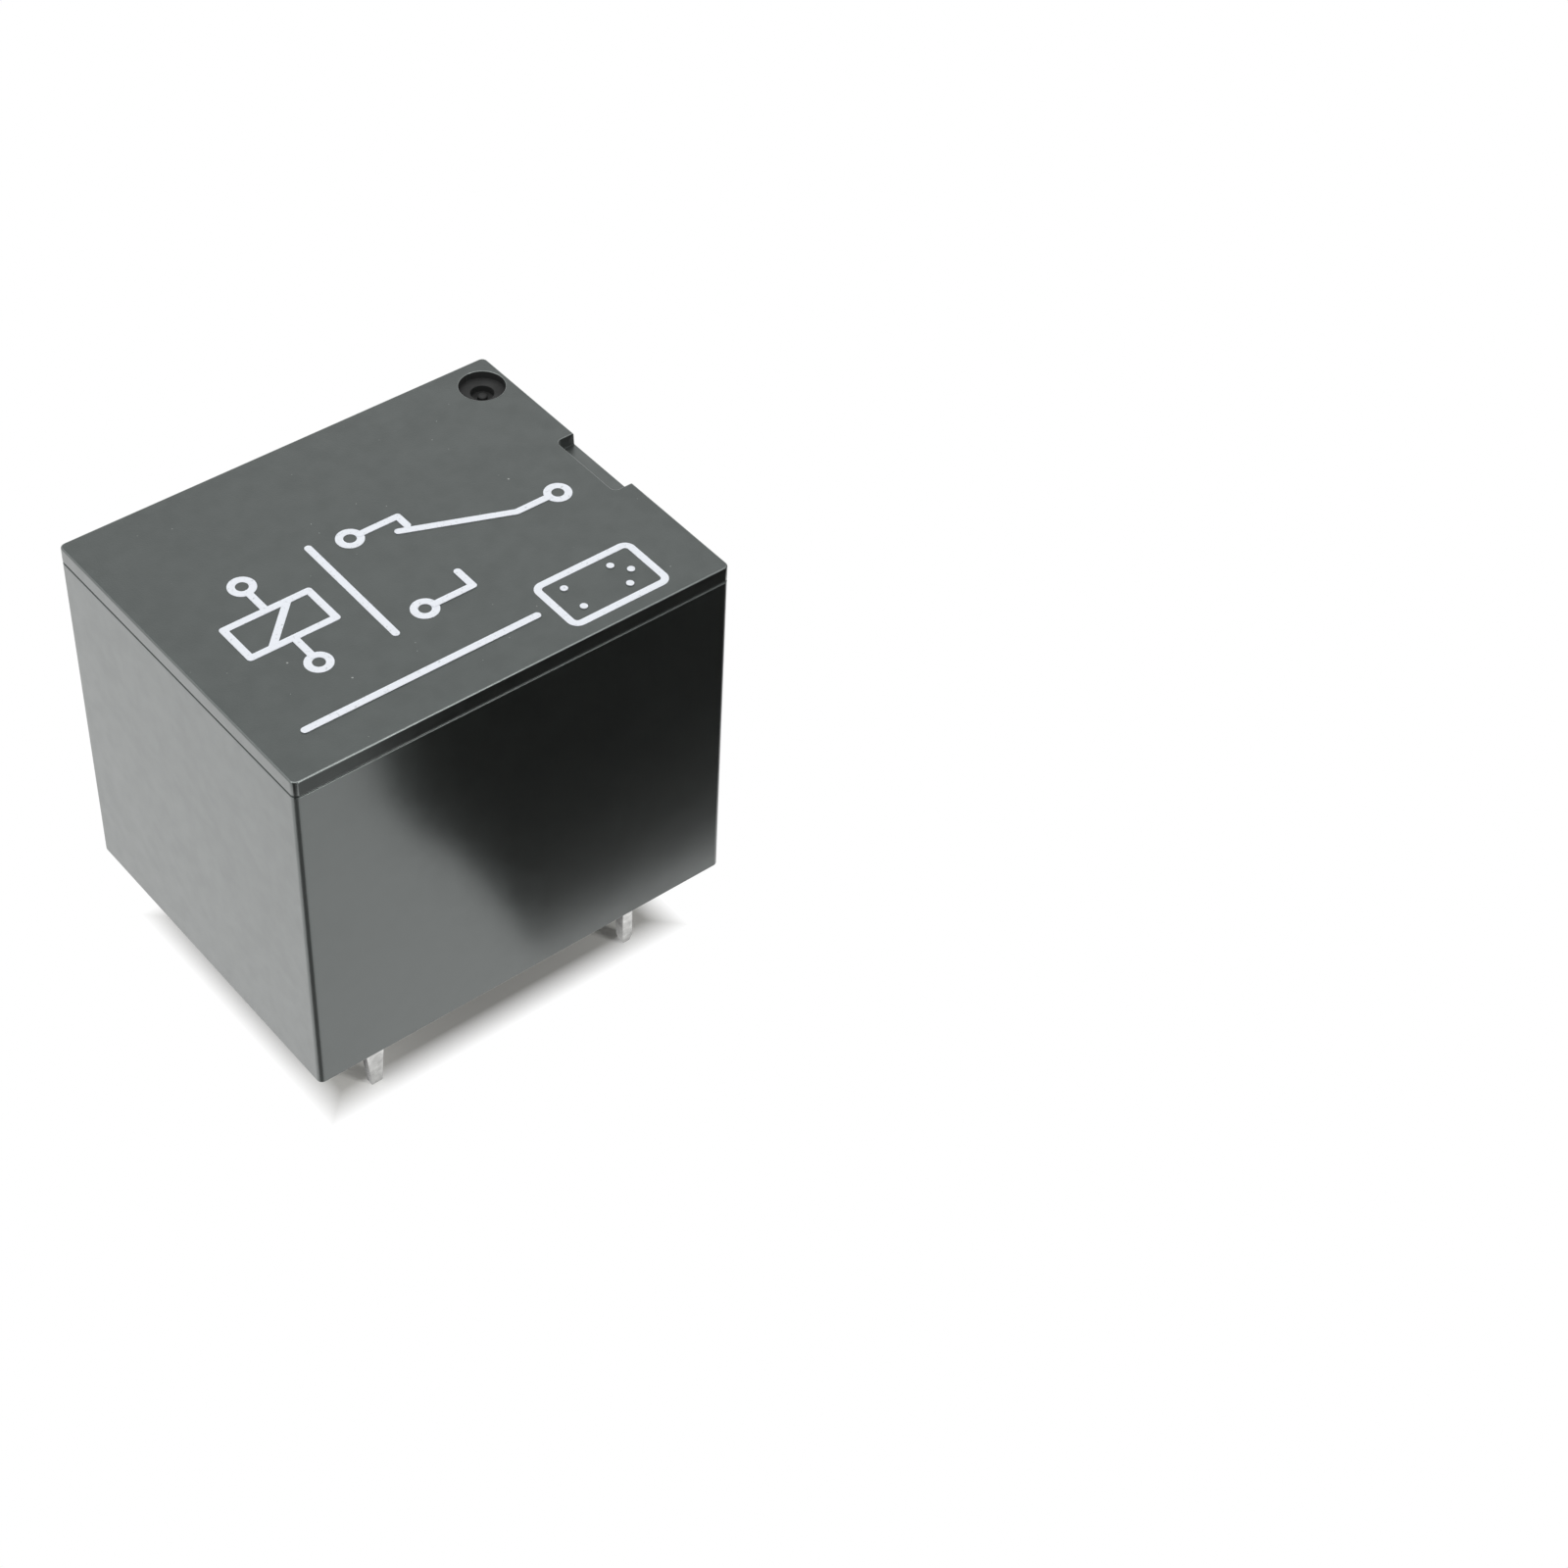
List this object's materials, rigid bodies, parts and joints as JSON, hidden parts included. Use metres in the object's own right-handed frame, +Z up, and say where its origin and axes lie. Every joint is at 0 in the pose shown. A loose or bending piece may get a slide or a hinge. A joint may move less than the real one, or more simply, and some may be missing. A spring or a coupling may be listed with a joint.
{
  "type": "pcb power relay",
  "caption": "Sealed changeover power relay for a circuit board: a moulded box on blade and square pins, with coil, yoke, rocking armature and leaf-spring contacts inside.",
  "frame": {"origin": "centre of the cover's rim, in the plane where it seats on the board", "axes": "+X from the contact pins to the common pin, +Y to the side with the vent, +Z up away from the board"},
  "size_m": [0.019, 0.0154, 0.0196],
  "materials": {
    "cover_plastic": "fine eroded texture on the roof, satin sides",
    "base_plastic": "satin moulded",
    "resin": "cast, dull and uneven",
    "bobbin_plastic": "satin moulded",
    "copper_wire": "enamelled",
    "solder": "bright solder",
    "plated_iron": "nickel plated",
    "rivet_steel": "plated",
    "tinned_strip": "tinned",
    "contact_silver": "silver alloy",
    "spring_bronze": "rolled bronze"
  },
  "bodies": {
    "housing": {"cover": "cover_plastic", "base": "base_plastic", "sealing_resin": "resin", "bobbin": "bobbin_plastic", "coil_winding": "copper_wire", "solder_joint_a": "solder", "solder_joint_b": "solder", "core": "plated_iron", "yoke": "plated_iron", "yoke_rivets": "rivet_steel", "common_terminal": "tinned_strip", "no_terminal": "tinned_strip", "no_contact": "contact_silver", "nc_terminal": "tinned_strip", "nc_contact": "contact_silver", "coil_pin_a": "tinned_strip", "coil_pin_b": "tinned_strip"},
    "armature": {"armature": "plated_iron", "armature_rivets": "rivet_steel", "contact_spring": "spring_bronze", "moving_contact": "contact_silver"}
  },
  "joints": [
    {"name": "armature_rock", "type": "hinge", "parent": "housing", "child": "armature", "pos_m": [0.00655, 0, 0.0117], "axis": [0, -1, 0], "range_deg": [0, 1.75], "stiffness_Nm_per_rad": 0.005, "springref_deg": -14.32, "deforming": ["contact_spring"]}
  ]
}
